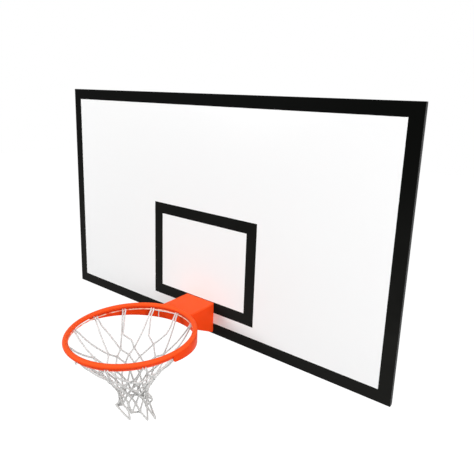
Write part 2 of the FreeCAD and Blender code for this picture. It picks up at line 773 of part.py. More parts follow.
def check_and_write():
    doc.recompute()
    for item in doc.Objects:
        if "Invalid" in item.State or "Error" in item.State:
            raise RuntimeError(f"{item.Name} failed: {item.State}")
    for item in nodes:
        if item.Shape.isNull() or not item.Shape.isValid() or item.Shape.Volume <= 0:
            raise RuntimeError(f"{item.Label} has no sound shape")
    os.makedirs("parts", exist_ok=True)
    for item in nodes:
        item.Shape.exportStep(f"parts/{item.Label}.step")
        print(f"{item.Label}: {len(item.Shape.Solids)} solids, {item.Shape.Volume / 1000:.1f} cm3")
    print(f"{len(nodes)} sub-parts")


make_panel()
make_edging()
make_lines()
make_frame()
make_lugs()
make_caps()
make_screws()
make_ring_fastening()
make_ring()
make_net_wire()
make_net()
check_and_write()
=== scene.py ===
# %% [markdown]
# # A basketball backboard with a fixed ring and a knotted net
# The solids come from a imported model, at their real size and in one shared frame: metres, +Z up, the
# play side towards -Y. This lesson dresses them. It loads the model, sets a camera and a studio, makes
# one finish for each material, and then builds the pieces that a solid model leaves plain: rounded sheet
# metal, weld beads, screws with a cross recess, and the net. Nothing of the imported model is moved.

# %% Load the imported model
import json
import math

import bmesh
import bpy
import numpy as np
from mathutils import Matrix, Vector


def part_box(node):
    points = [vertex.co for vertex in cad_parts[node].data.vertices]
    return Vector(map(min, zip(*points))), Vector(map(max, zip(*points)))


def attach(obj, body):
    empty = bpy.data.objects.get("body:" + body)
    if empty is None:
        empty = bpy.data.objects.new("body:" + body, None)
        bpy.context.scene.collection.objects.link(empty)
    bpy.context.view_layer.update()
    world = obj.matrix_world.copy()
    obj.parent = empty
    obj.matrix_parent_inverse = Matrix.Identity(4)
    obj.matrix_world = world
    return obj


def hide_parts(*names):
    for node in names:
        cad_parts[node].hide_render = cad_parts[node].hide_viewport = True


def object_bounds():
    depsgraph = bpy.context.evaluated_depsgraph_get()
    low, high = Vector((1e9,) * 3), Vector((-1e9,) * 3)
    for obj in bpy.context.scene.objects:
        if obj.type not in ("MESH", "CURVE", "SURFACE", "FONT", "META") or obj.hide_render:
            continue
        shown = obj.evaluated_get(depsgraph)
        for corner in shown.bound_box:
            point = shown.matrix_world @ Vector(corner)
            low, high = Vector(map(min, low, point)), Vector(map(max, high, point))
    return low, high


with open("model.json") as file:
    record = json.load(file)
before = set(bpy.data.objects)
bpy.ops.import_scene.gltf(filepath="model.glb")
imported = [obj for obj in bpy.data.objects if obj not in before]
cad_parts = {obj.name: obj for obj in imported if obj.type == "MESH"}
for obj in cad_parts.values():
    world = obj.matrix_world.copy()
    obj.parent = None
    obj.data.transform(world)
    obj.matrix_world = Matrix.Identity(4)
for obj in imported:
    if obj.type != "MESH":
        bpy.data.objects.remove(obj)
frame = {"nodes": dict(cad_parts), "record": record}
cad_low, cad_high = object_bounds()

nodes = frame["nodes"]
scene = bpy.context.scene
print(f"{len(nodes)} nodes, box {[round(side, 3) for side in cad_high - cad_low]} m")

# %% [markdown]
# ## Camera
# The photographer stood to the right of the ring, a little above the board's middle, and turned left. The
# picture was cropped afterwards, so the optical axis doesn't go through its middle: that is what the lens
# shift is for. A camera could be aimed with a Track To constraint, but a constraint can't hold the slight
# roll of a hand-held picture. So the three axes are written down and become a rotation matrix.

# %% Set the camera
CAMERA_PLACE = Vector((1.271, -1.458, 0.481))
CAMERA_FORWARD = Vector((-0.532, 0.821, -0.205))
CAMERA_RIGHT = Vector((0.832, 0.552, 0.052))
SENSOR_WIDTH = 36.0
FOCAL_LENGTH = 33.45
SHIFT = (-0.078, -0.077)


def new_object(name, data):
    """Make an object of some data and put it into the scene."""
    made = bpy.data.objects.new(name, data)
    scene.collection.objects.link(made)
    return made


def camera_matrix(place, forward, right):
    """Square up the axes and set them as the columns of a camera's matrix."""
    back = -forward.normalized()
    up = back.cross(right).normalized()
    right = up.cross(back)
    turn = Matrix((right, up, back)).transposed()
    return Matrix.Translation(place) @ turn.to_4x4()


camera = new_object("camera", bpy.data.cameras.new("camera"))
camera.data.sensor_width = SENSOR_WIDTH
camera.data.lens = FOCAL_LENGTH
camera.data.shift_x, camera.data.shift_y = SHIFT
camera.matrix_world = camera_matrix(CAMERA_PLACE, CAMERA_FORWARD, CAMERA_RIGHT)
scene.camera = camera
print(f"camera with a {FOCAL_LENGTH} mm lens, {CAMERA_PLACE.length:.2f} m from the board's middle")

# %% [markdown]
# ## Node trees as sums
# Materials and Geometry Nodes are both trees of nodes. Written node by node they take a page each, so two
# small classes do the wiring. A `Signal` wraps an output socket and lets it take part in Python sums: each
# operator adds one Math node. A `Graph` holds the tree, and its one method makes any other node from its
# type, its settings and what goes into its sockets.

# %% Signals and graphs
class Signal:
    """A node's output that can be used in Python sums."""

    def __init__(self, graph, socket):
        self.graph = graph
        self.socket = socket

    def __add__(self, other):
        return self.graph.math("ADD", self, other)

    def __sub__(self, other):
        return self.graph.math("SUBTRACT", self, other)

    def __rsub__(self, other):
        return self.graph.math("SUBTRACT", other, self)

    def __mul__(self, other):
        return self.graph.math("MULTIPLY", self, other)

    def __truediv__(self, other):
        return self.graph.math("DIVIDE", self, other)

    __radd__ = __add__
    __rmul__ = __mul__


class Graph:
    """A node tree that is wired by one method."""

    def __init__(self, tree):
        self.tree = tree
        tree.nodes.clear()

    def node(self, kind, settings=None, inputs=None, output=0):
        """Add a node: its settings, then its sockets' values or links. A list goes into one socket."""
        made = self.tree.nodes.new(kind)
        for name, value in (settings or {}).items():
            setattr(made, name, value)
        for key, value in (inputs or {}).items():
            for item in value if isinstance(value, list) else [value]:
                if isinstance(item, Signal):
                    self.tree.links.new(item.socket, made.inputs[key])
                else:
                    made.inputs[key].default_value = item
        return Signal(self, made.outputs[output]) if made.outputs else None

    def math(self, operation, *values):
        """Add a Math node, also for what no Python operator stands for."""
        return self.node("ShaderNodeMath", {"operation": operation}, dict(enumerate(values)))

    def part(self, vector, axis):
        """Give one part of a vector: X, Y or Z."""
        return self.node("ShaderNodeSeparateXYZ", None, {0: vector}, output=axis)

    def ease(self, value, low, high):
        """Rise smoothly from 0 to 1 while a value goes from low to high."""
        inputs = {"Value": value, "From Min": low, "From Max": high}
        return self.node("ShaderNodeMapRange", {"interpolation_type": "SMOOTHSTEP"}, inputs)


print("made Signal and Graph")

# %% [markdown]
# A finish is a graph too. It starts from Object coordinates, which are metres on every piece here, so a
# pattern keeps its scale, and it ends in a Principled BSDF.

# %% Finishes
class Finish(Graph):
    """A material for one of the object's surfaces."""

    def __init__(self, name):
        self.material = bpy.data.materials.new(name)
        self.material.use_nodes = True
        super().__init__(self.material.node_tree)
        self.place = self.node("ShaderNodeTexCoord", output="Object")

    def noise(self, per_metre, detail=2.0, roughness=0.5, place=None, output=0):
        """Give soft random values about 0.5, so many lumps to the metre."""
        inputs = {"Vector": place or self.place, "Scale": per_metre,
                  "Detail": detail, "Roughness": roughness}
        return self.node("ShaderNodeTexNoise", None, inputs, output)

    def stretched(self, scale):
        """Scale the coordinates unevenly, so that a pattern runs along one axis."""
        return self.node("ShaderNodeMapping", None, {"Vector": self.place, "Scale": scale})

    def blend(self, share, first, second):
        """Mix two colours by a share from 0 to 1. A Mix node has its colours at sockets 6 and 7."""
        inputs = {0: share, 6: first, 7: second}
        return self.node("ShaderNodeMix", {"data_type": "RGBA"}, inputs, output=2)

    def done(self, colour, roughness, relief, depth, **constants):
        """Close the material: a relief rises by a depth in metres, and constants go by socket name."""
        normal = self.node("ShaderNodeBump", None, {"Height": relief, "Distance": depth})
        inputs = {"Base Color": colour, "Roughness": roughness, "Normal": normal}
        inputs.update((name.replace("_", " "), value) for name, value in constants.items())
        shader = self.node("ShaderNodeBsdfPrincipled", None, inputs)
        self.node("ShaderNodeOutputMaterial", None, {"Surface": shader})
        return self.material


print("made Finish")

# %% [markdown]
# ## Studio
# Product pictures of this kind stand on pure white. White could be had by pouring light over everything,
# but that would bleach the object too. Instead the floor and the world are white only to rays that come
# from the camera, a mirror or glass, and give a plain soft light to everything else. The floor lies as far
# below the ring as the game's rules put it, so the shadow on it is wide and faint.

# %% Make the floor and the sky
WHITE = (1.0, 1.0, 1.0, 1.0)
RING_HEIGHT = 3.05
FLOOR_HALF = 30.0
FLOOR_GREY = (0.24, 0.24, 0.24, 1.0)
FLOOR_GLOW = 0.91
SKY_ABOVE = 0.58
SKY_BELOW = 0.16
bar_low, bar_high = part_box("ring_bar")


def seen_directly(graph):
    """Give 1 to rays from the camera, a mirror or glass, and 0 to the rest."""
    shares = [graph.node("ShaderNodeLightPath", output=name)
              for name in ("Is Camera Ray", "Is Glossy Ray", "Is Transmission Ray")]
    return graph.math("MAXIMUM", graph.math("MAXIMUM", shares[0], shares[1]), shares[2])


def make_floor():
    finish = Finish("pale_floor")
    matt = finish.node("ShaderNodeBsdfDiffuse", None, {"Color": FLOOR_GREY})
    glow = finish.node("ShaderNodeEmission", None, {"Color": WHITE, "Strength": FLOOR_GLOW})
    both = finish.node("ShaderNodeAddShader", None, {0: matt, 1: glow})
    surface = finish.node("ShaderNodeMixShader", None, {0: seen_directly(finish), 1: matt, 2: both})
    finish.node("ShaderNodeOutputMaterial", None, {"Surface": surface})
    level = bar_high.z - RING_HEIGHT
    sides = ((-1, -1), (1, -1), (1, 1), (-1, 1))
    mesh = bpy.data.meshes.new("floor")
    mesh.from_pydata([(x * FLOOR_HALF, y * FLOOR_HALF, level) for x, y in sides], [], [(0, 1, 2, 3)])
    mesh.materials.append(finish.material)
    floor = new_object("floor", mesh)


def make_sky():
    world = bpy.data.worlds.new("studio")
    world.use_nodes = True
    scene.world = world
    graph = Graph(world.node_tree)
    height = graph.part(graph.node("ShaderNodeTexCoord", output="Generated"), "Z")
    soft = graph.ease(height, -1.0, 1.0) * (SKY_ABOVE - SKY_BELOW) + SKY_BELOW
    seen = seen_directly(graph)
    strength = seen + soft * (1 - seen)
    sky = graph.node("ShaderNodeBackground", None, {"Color": WHITE, "Strength": strength})
    graph.node("ShaderNodeOutputWorld", None, {"Surface": sky})


make_floor()
make_sky()
scene.view_settings.view_transform = "Standard"
print(f"floor {RING_HEIGHT} m below the ring's top")

# %% [markdown]
# Three round area lamps light the board softly: one from the left for its face, one from far right, which
# meets the bracket's cheek squarely and the face at a slant, and one from the rear for the frame.

# %% Hang the lamps
LAMPS = {
    # name: (place, size in metres, watts)
    "key_left": ((-3.0, -4.4, 1.8), 2.4, 165.0),
    "fill_right": ((4.0, -1.8, 0.8), 2.6, 125.0),
    "rim_rear": ((0.6, 3.6, 2.4), 2.4, 90.0),
}


def make_lamps():
    aim = (cad_low + cad_high) / 2
    for name, (place, size, watts) in LAMPS.items():
        lamp = new_object(name, bpy.data.lights.new(name, "AREA"))
        lamp.data.shape = "DISK"
        lamp.data.size = size
        lamp.data.energy = watts
        lamp.location = place
        lamp.rotation_euler = (aim - Vector(place)).to_track_quat("-Z", "Y").to_euler()
        lamp.visible_camera = False


make_lamps()
print("lamps:", ", ".join(LAMPS))

# %% [markdown]
# ## Finishes of the board
# The panel is plywood faced with white laminate: an even white with a fine pebble that only shows where a
# lamp grazes it. Its back is the same sheet's plain side, duller and a touch warmer. An image could carry
# this, but a formula in metres keeps its scale on any piece. One material serves both sides and tells them
# apart by the distance from the face. The lines are self-adhesive black film, smoother than the panel and
# dustier towards the board's foot. The edging is drawn plastic strip, with faint lines along it.

# %% White laminate, black film and edging
panel_low, panel_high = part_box("board_panel")
panel_middle = (panel_low.y + panel_high.y) / 2
DRAW_PHASE_PER_METRE = 4200.0


def white_laminate():
    finish = Finish("white_laminate")
    rear = finish.math("GREATER_THAN", finish.part(finish.place, "Y"), panel_middle)
    cloud = finish.noise(3.0, detail=3.0)
    pebble = finish.noise(900.0, detail=1.0)
    face = finish.blend(cloud, (0.925, 0.928, 0.93, 1.0), (0.945, 0.945, 0.945, 1.0))
    grain = finish.noise(40.0, detail=4.0, place=finish.stretched((0.08, 1.0, 1.0)))
    back = finish.blend(grain, (0.70, 0.69, 0.66, 1.0), (0.80, 0.79, 0.77, 1.0))
    wipe = finish.noise(14.0, detail=3.0, place=finish.stretched((0.3, 1.0, 1.0)))
    roughness = 0.34 + (wipe - 0.5) * 0.12 + rear * 0.22
    return finish.done(finish.blend(rear, face, back), roughness, pebble, 0.00004, Specular_IOR_Level=0.35)


def black_film():
    finish = Finish("black_film")
    cloud = finish.noise(9.0, detail=3.0)
    ripple = finish.noise(220.0)
    scuff = finish.ease(finish.noise(60.0, detail=5.0, roughness=0.7), 0.56, 0.75)
    height = finish.part(finish.place, "Z")
    dust = (1 - finish.ease(height, panel_low.z, panel_high.z)) * (cloud + 0.5)
    colour = finish.blend(dust, (0.0020, 0.0022, 0.0019, 1.0), (0.0125, 0.0125, 0.0115, 1.0))
    roughness = 0.42 + cloud * 0.12 + scuff * 0.14
    return finish.done(colour, roughness, ripple, 0.00003, Specular_IOR_Level=0.015)


def black_edging():
    finish = Finish("drawn_edging")
    draw_lines = finish.math("SINE", finish.part(finish.place, "Y") * DRAW_PHASE_PER_METRE)
    dust = finish.noise(35.0, detail=4.0)
    colour = finish.blend(dust, (0.006, 0.006, 0.006, 1.0), (0.014, 0.014, 0.013, 1.0))
    return finish.done(colour, 0.42 + dust * 0.16, draw_lines, 0.00002, Specular_IOR_Level=0.12)


FINISHES = {"white_panel": white_laminate(), "black_line": black_film(), "black_edging": black_edging()}
print("finishes:", ", ".join(FINISHES))

# %% [markdown]
# ## The orange coat
# The ring and its bracket are powder coated: the powder melts into a skin with a soft ripple called orange
# peel. The colour goes by height about the bar's middle: the upper side is painted paler as painted light
# from above, and what hangs below it gets a deeper red as painted shade. Painting that on by hand would need
# a map for each piece. The wire that carries the net has the same coat, but its side towards the ring's axis
# is paler in patches: partly rub wear from the cords, partly a painted highlight.

# %% Orange powder coat with painted top light, and the wire's rub wear and painted highlight
TOP_LIGHT_FROM = -0.4
TOP_LIGHT_TO = 0.8
RUB_AND_HIGHLIGHT_EDGE = 0.4
bar_middle = (bar_low.z + bar_high.z) / 2
bar_radius = (bar_high.z - bar_low.z) / 2
wire_low, wire_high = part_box("net_wire")
wire_middle = np.array((wire_low + wire_high) / 2)
wire_radius = (wire_high.z - wire_low.z) / 2
wire_ring = (wire_high.x - wire_low.x) / 2 - wire_radius


def orange_powder():
    finish = Finish("orange_powder")
    peel = finish.noise(420.0)
    cloud = finish.noise(16.0, detail=3.0)
    speck = finish.noise(2600.0, detail=1.0)
    height = finish.part(finish.place, "Z")
    # Painted light: the upper side is painted paler as if lit from above, and the deeper red below the bar's
    # middle is painted shade.
    painted_top_light = finish.ease(height, bar_middle + bar_radius * TOP_LIGHT_FROM, bar_middle + bar_radius * TOP_LIGHT_TO)
    deep = finish.blend(cloud, (0.88, 0.060, 0.008, 1.0), (0.94, 0.070, 0.011, 1.0))
    colour = finish.blend(painted_top_light, deep, (0.97, 0.105, 0.022, 1.0))
    roughness = 0.30 + cloud * 0.10 + speck * 0.06
    return finish.done(colour, roughness, peel, 0.00006, Specular_IOR_Level=0.025)


def rubbed_wire():
    finish = Finish("rubbed_wire")
    across = finish.part(finish.place, "X")
    along = finish.part(finish.place, "Y") - wire_middle[1]
    reach = finish.math("SQRT", across * across + along * along)
    inside = 1 - finish.ease(reach, wire_ring - wire_radius * RUB_AND_HIGHLIGHT_EDGE, wire_ring + wire_radius * RUB_AND_HIGHLIGHT_EDGE)
    # Paler patches on the side towards the ring's axis: partly rub wear from the cords, partly a painted
    # highlight.
    rub_and_highlight_share = inside * finish.ease(finish.noise(40.0, detail=4.0), 0.34, 0.54)
    colour = finish.blend(rub_and_highlight_share, (0.93, 0.085, 0.016, 1.0), (0.97, 0.66, 0.50, 1.0))
    scratches = finish.noise(900.0)
    return finish.done(colour, 0.38 - rub_and_highlight_share * 0.10, scratches, 0.00003, Specular_IOR_Level=0.4)


FINISHES["ring_orange"] = orange_powder()
print(f"orange paled above {bar_middle:.3f} m, wire of {wire_radius * 2000:.0f} mm")

# %% [markdown]
# ## Finishes of the frame
# The frame is galvanised, which leaves flat crystals that each mirror the light at their own angle, so a
# Voronoi pattern picks colour and roughness cell by cell. Plain Voronoi cells have straight sides, and real
# crystals don't, so a noise stirs the coordinates first. The fasteners are bright zinc with a fine turned
# grain, and the rails' caps are moulded plastic.

# %% Galvanised steel, zinc and moulded plastic
SPANGLE_PER_METRE = 130.0
STIR = 0.006


def galvanised():
    finish = Finish("galvanised_steel")
    wobble = finish.noise(30.0, detail=3.0)
    stir = finish.noise(90.0, detail=3.0, output="Color")
    stirred = finish.node("ShaderNodeVectorMath", {"operation": "MULTIPLY_ADD"},
                          {0: stir, 1: (STIR, STIR, STIR), 2: finish.place})
    inputs = {"Vector": stirred, "Scale": SPANGLE_PER_METRE}
    cell = finish.node("ShaderNodeTexVoronoi", None, inputs, output="Color")
    tone = finish.node("ShaderNodeSeparateColor", None, {0: cell})
    edge = finish.node("ShaderNodeTexVoronoi", {"feature": "DISTANCE_TO_EDGE"}, inputs)
    crystal = finish.ease(edge, 0.0, 0.08)
    shade = tone * 0.6 + wobble * 0.4
    colour = finish.blend(shade, (0.40, 0.415, 0.43, 1.0), (0.56, 0.57, 0.58, 1.0))
    roughness = 0.36 + tone * 0.14 + wobble * 0.10
    return finish.done(colour, roughness, crystal * 0.3 + wobble, 0.00003, Metallic=0.92)


def bright_zinc():
    finish = Finish("bright_zinc")
    grain = finish.noise(900.0)
    stain = finish.noise(70.0, detail=4.0)
    colour = finish.blend(stain, (0.62, 0.63, 0.64, 1.0), (0.80, 0.79, 0.74, 1.0))
    return finish.done(colour, 0.22 + stain * 0.22, grain, 0.00002, Metallic=1.0)


def moulded_plastic():
    finish = Finish("moulded_plastic")
    grain = finish.noise(1400.0)
    dust = finish.noise(40.0, detail=4.0)
    colour = finish.blend(dust, (0.012, 0.012, 0.012, 1.0), (0.026, 0.026, 0.025, 1.0))
    return finish.done(colour, 0.5 + dust * 0.15, grain, 0.00004)


FINISHES.update(frame_steel=galvanised(), fastener_steel=bright_zinc(), cap_plastic=moulded_plastic())
print("finishes:", ", ".join(FINISHES))

# %% [markdown]
# ## The cord's finish
# The net is braided white cord. Braid is too fine to model strand by strand on almost eleven metres of cord,
# so the tubes carry two attributes, the length along the cord and the turn round it, and the finish draws the
# crossing strands from them, with painted shade in the grooves between them. That keeps the braid running
# along every bend, which Object coordinates can't. The lower net is painted greyer as painted shade.

# %% Braided cord
BRAID_PITCH = 0.008
BRAID_STRANDS = 4.0
SHADE_FOOT = 0.06
LIT_TOP = 0.05
cord_low, cord_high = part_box("net")


def braid_height(graph, along, turn):
    """Give the height of the crossing strands at a length along the cord and a turn round it."""
    run = along * (math.tau / BRAID_PITCH)
    twist = turn * (BRAID_STRANDS * math.tau)
    return graph.math("MAXIMUM", graph.math("SINE", run + twist), graph.math("SINE", run - twist))


def braided_cord():
    finish = Finish("braided_cord")
    along, turn = (finish.node("ShaderNodeAttribute", {"attribute_name": name}, output="Fac")
                   for name in ("along", "around"))
    strands = braid_height(finish, along, turn) * 0.5 + 0.5
    fuzz = finish.noise(2500.0)
    height = finish.part(finish.place, "Z")
    grime = finish.noise(30.0, detail=3.0) * 0.2
    # Darker towards the hem: painted shade, with a random cloud over it.
    lit_share = finish.ease(height, cord_low.z + SHADE_FOOT, cord_high.z - LIT_TOP) * 0.8 + grime
    # The grooves between the crossing strands are darker: painted shade.
    shaded_cord = finish.blend(strands, (0.39, 0.385, 0.37, 1.0), (0.70, 0.695, 0.68, 1.0))
    lit_cord = finish.blend(strands, (0.62, 0.615, 0.60, 1.0), (0.92, 0.92, 0.91, 1.0))
    colour = finish.blend(lit_share, shaded_cord, lit_cord)
    return finish.done(colour, 0.7 + fuzz * 0.2, strands + fuzz * 0.3, 0.0003,
                       Specular_IOR_Level=0.3, Sheen_Weight=0.15)


FINISHES["net_cord"] = braided_cord()
slots = {part["node"]: part["material_slot"] for part in frame["record"]["subparts"]}
for node, slot in slots.items():
    nodes[node].data.materials.clear()
    nodes[node].data.materials.append(FINISHES[slot])
nodes["net_wire"].data.materials[0] = rubbed_wire()
print(f"{len(slots)} nodes dressed")

# %% [markdown]
# ## Recipes
# What repeats, or runs along a path, is made with Geometry Nodes: a `Recipe` is such a tree. It is given
# points or lines, takes named values and a material, and serves plain geometry.

# %% Recipes for Geometry Nodes
class Recipe(Graph):
    """A Geometry Nodes tree with named inputs."""

    def __init__(self, name, given):
        super().__init__(bpy.data.node_groups.new(name, "GeometryNodeTree"))
        self.tree.interface.new_socket("Geometry", in_out="OUTPUT", socket_type="NodeSocketGeometry")
        self.identifiers = {}
        self.given, = self.take("Geometry", given)
        self.material, = self.take("Material", "Material")

    def take(self, kind, *names):
        """Add named inputs of one kind: Float, Int, Geometry or Material."""
        for name in names:
            socket = self.tree.interface.new_socket(name, in_out="INPUT", socket_type="NodeSocket" + kind)
            self.identifiers[name] = socket.identifier
        return [self.node("NodeGroupInput", output=name) for name in names]

    def circle(self, sides, radius):
        return self.node("GeometryNodeCurvePrimitiveCircle", None, {"Resolution": sides, "Radius": radius})

    def smooth(self, geometry):
        return self.node("GeometryNodeSetShadeSmooth", None, {"Geometry": geometry})

    def serve(self, geometry):
        """End the tree: plain geometry with its material."""
        real = self.node("GeometryNodeRealizeInstances", None, {0: geometry})
        dressed = self.node("GeometryNodeSetMaterial", None, {"Geometry": real, "Material": self.material})
        self.node("NodeGroupOutput", None, {0: dressed})
        return self


print("made Recipe")

# %% [markdown]
# A recipe runs as a modifier on a helper mesh. `grow` keeps what it makes as a plain mesh in place and
# throws the helper away, and it drops the empty material slot that primitives come with. `settle` then says
# what the finished piece belongs to.

# %% Run a recipe
def helper_mesh(name, points, edges=(), **noted):
    """Make a helper object of points and edges, with a number or a direction noted on each point."""
    mesh = bpy.data.meshes.new(name)
    mesh.from_pydata([tuple(point) for point in points], list(edges), [])
    for title, values in noted.items():
        values = np.array(values, float)
        kind, field = ("FLOAT", "value") if values.ndim == 1 else ("FLOAT_VECTOR", "vector")
        mesh.attributes.new(title, kind, "POINT").data.foreach_set(field, values.ravel())
    return new_object(name, mesh)


def chain_mesh(name, chains, **noted):
    """Make a helper object of open chains of points."""
    points, edges = [], []
    for chain in chains:
        first = len(points)
        points.extend(chain)
        edges.extend((index, index + 1) for index in range(first, len(points) - 1))
    return helper_mesh(name, points, edges, **noted)


def grow(recipe, helper, name, slot, values):
    """Run a recipe on a helper and keep what it makes as a plain mesh in the slot's finish."""
    modifier = helper.modifiers.new(name, "NODES")
    modifier.node_group = recipe.tree
    for title, value in {**values, "Material": FINISHES[slot]}.items():
        modifier[recipe.identifiers[title]] = value
    evaluated = helper.evaluated_get(bpy.context.evaluated_depsgraph_get())
    mesh = bpy.data.meshes.new_from_object(evaluated)
    helper.modifiers.remove(modifier)
    bpy.data.objects.remove(helper)
    mesh.name = name
    for index in reversed(range(len(mesh.materials))):
        if mesh.materials[index] is None:
            mesh.materials.pop(index=index)
    return new_object(name, mesh)


def settle(piece, slot, *replaced):
    """Let a finished piece ride on the object, and hide the nodes that it stands for. The slot is not used.
    """
    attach(piece, "root")
    if replaced:
        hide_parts(*replaced)
    triangles = sum(len(face.vertices) - 2 for face in piece.data.polygons)
    print(f"{piece.name}: {triangles} triangles")


print("made helper_mesh, chain_mesh, grow and settle")

# %% [markdown]
# ## Sheet metal with soft edges
# Cut plates have crisp edges, but under powder or zinc every edge is a little round, and that thin round is
# what catches the light. A Bevel modifier would do it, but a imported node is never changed. So each plate is
# copied, its loose triangles are merged back into flat faces, and only the edges that turn sharply are
# rounded. The top plate is folded, so its round is wider. Faces between sharp edges stay flat, and curved
# walls are shaded smooth.

# %% Round the edges of the plates
PLATE_NAMES = ("ring_top", "ring_gusset", "ring_mount", "ring_skirt", "ring_backing",
               "fixing_lug", "edge_band")
EDGE_ROUND = {"ring_orange": 0.0010, "frame_steel": 0.0008, "black_edging": 0.0005}
FOLD_ROUND = {"ring_top_plate": 0.0022}
ROUND_STEPS = 3
SHARP_TURN = math.radians(25)
FLAT_TURN = math.radians(1)
MERGE_WITHIN = 1e-6


def round_edges(node):
    """Copy a plate, merge its triangles and round its sharp edges."""
    source = nodes[node].data
    corners = [vertex.co for vertex in source.vertices]
    mesh = bpy.data.meshes.new(node + "_rounded")
    mesh.from_pydata(corners, [], [face.vertices for face in source.polygons])
    work = bmesh.new()
    work.from_mesh(mesh)
    bmesh.ops.remove_doubles(work, verts=work.verts, dist=MERGE_WITHIN)
    bmesh.ops.dissolve_limit(work, angle_limit=FLAT_TURN, verts=work.verts, edges=work.edges)
    turns = {edge: edge.calc_face_angle(0.0) for edge in work.edges}
    for face in work.faces:
        face.smooth = any(FLAT_TURN < turns[edge] < SHARP_TURN for edge in face.edges)
    sharp = [edge for edge, turn in turns.items() if turn > SHARP_TURN]
    radius = FOLD_ROUND.get(node, EDGE_ROUND[slots[node]])
    made = bmesh.ops.bevel(work, geom=sharp, offset=radius, offset_type="OFFSET", segments=ROUND_STEPS,
                           profile=0.5, affect="EDGES", clamp_overlap=True)
    for face in made["faces"]:
        face.smooth = True
    work.to_mesh(mesh)
    work.free()
    mesh.materials.append(FINISHES[slots[node]])
    return new_object(mesh.name, mesh)


for node in sorted(nodes):
    if node.startswith(PLATE_NAMES):
        settle(round_edges(node), slots[node], node)

# %% [markdown]
# ## Weld beads
# The bracket's plates are welded to one another and to the bar, and so are the frame's tubes and lugs. A
# bead is a row of small frozen pools, so it swells and narrows along the seam and thins out at its ends. A
# bump pattern would not show on the outline. Here each seam is a line or an arc taken from the nodes'
# boxes, and one recipe sweeps a rippled bead along it. The ring's beads are dressed smoother than the
# frame's.

# %% Find the seams of the ring
top_low, top_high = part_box("ring_top_plate")
mount_low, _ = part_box("ring_mount_plate")
skirt_low, skirt_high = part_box("ring_skirt")
ring_axis = (bar_low + bar_high) / 2
bar_ring = (bar_high.x - bar_low.x) / 2 - bar_radius
PLATE_WALL = top_high.z - top_low.z
SKIRT_WALL = 0.004
SKIRT_HALF_SWEEP = 94.0
SKIRT_SEAM_RISE = 0.12
ARC_STEP = 3.0


def ring_arc(radius, level, half_sweep):
    """Give an arc about the ring's axis, either side of the board's direction."""
    turns = np.radians(np.arange(-half_sweep, half_sweep + ARC_STEP / 2, ARC_STEP))
    return [(radius * math.sin(turn), ring_axis.y + radius * math.cos(turn), level) for turn in turns]


def ring_seams():
    """Give the seams of the bracket: on the bar, on the skirt and in its corners."""
    cheek = top_high.x
    inner = cheek - PLATE_WALL
    on_bar = bar_ring + math.sqrt(bar_radius ** 2 - (top_high.z - ring_axis.z) ** 2)
    reach = math.degrees(math.asin(cheek / on_bar))
    skirt_face = ring_axis.y + math.sqrt(skirt_high.x ** 2 - cheek ** 2)
    skirt_level = bar_low.z + bar_radius * SKIRT_SEAM_RISE
    seams = [ring_arc(on_bar, top_high.z, reach),
             ring_arc(skirt_high.x - SKIRT_WALL, skirt_level, SKIRT_HALF_SWEEP),
             [(-inner, mount_low.y, top_low.z), (inner, mount_low.y, top_low.z)]]
    for side in (-1, 1):
        seams.append([(side * cheek, skirt_face, top_low.z), (side * cheek, skirt_face, skirt_low.z)])
        seams.append([(side * inner, mount_low.y, top_low.z), (side * inner, mount_low.y, mount_low.z)])
        seams.append([(side * cheek, mount_low.y, top_low.z), (side * cheek, skirt_face, top_low.z)])
    return seams


bracket_seams = ring_seams()
print(f"{len(bracket_seams)} seams on the ring")

# %% Find the seams of the frame
def rail_seams():
    """Give the seams where the tubes stand on the rails."""
    seams = []
    for rail in ("frame_top_rail", "frame_bottom_rail"):
        rail_low, rail_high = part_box(rail)
        level = rail_low.z if rail_low.z > 0 else rail_high.z
        for tube in ("frame_left_stile", "frame_right_stile", "frame_left_upright", "frame_right_upright"):
            low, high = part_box(tube)
            walls = [x for x in (low.x, high.x) if abs(x) < rail_high.x]
            seams += [[(x, rail_low.y, level), (x, rail_high.y, level)] for x in walls]
            if high.y == rail_high.y:
                seams.append([(low.x, rail_high.y, level), (high.x, rail_high.y, level)])
    return seams


def lug_seams():
    """Give the seams where the lugs lie on the uprights."""
    seams = []
    for lug in ("upper_left", "upper_right", "lower_left", "lower_right"):
        low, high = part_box("fixing_lug_" + lug)
        tube_low, tube_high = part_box(f"frame_{lug.split('_')[1]}_upright")
        seams += [[(tube_low.x, low.y, z), (tube_high.x, low.y, z)] for z in (low.z, high.z)]
        wall = tube_high.x if high.x > 0 else tube_low.x
        seams.append([(wall, low.y, low.z), (wall, low.y, high.z)])
    return seams


frame_seams = rail_seams() + lug_seams()
print(f"{len(frame_seams)} seams on the frame")

# %% Lay the beads
BEAD_SPACING = 0.0007
BEAD_SIDES = 10
BEAD_END = 0.4
BEAD_TAPER = 1.5
LUMPS_PER_METRE = 90.0
BEADS = {
    # piece: (seams, slot, radius, ripple pitch, ripple, wander)
    "ring_welds": (bracket_seams, "ring_orange", 0.0028, 0.0034, 0.07, 0.25),
    "frame_welds": (frame_seams, "frame_steel", 0.0030, 0.0026, 0.12, 0.40),
}


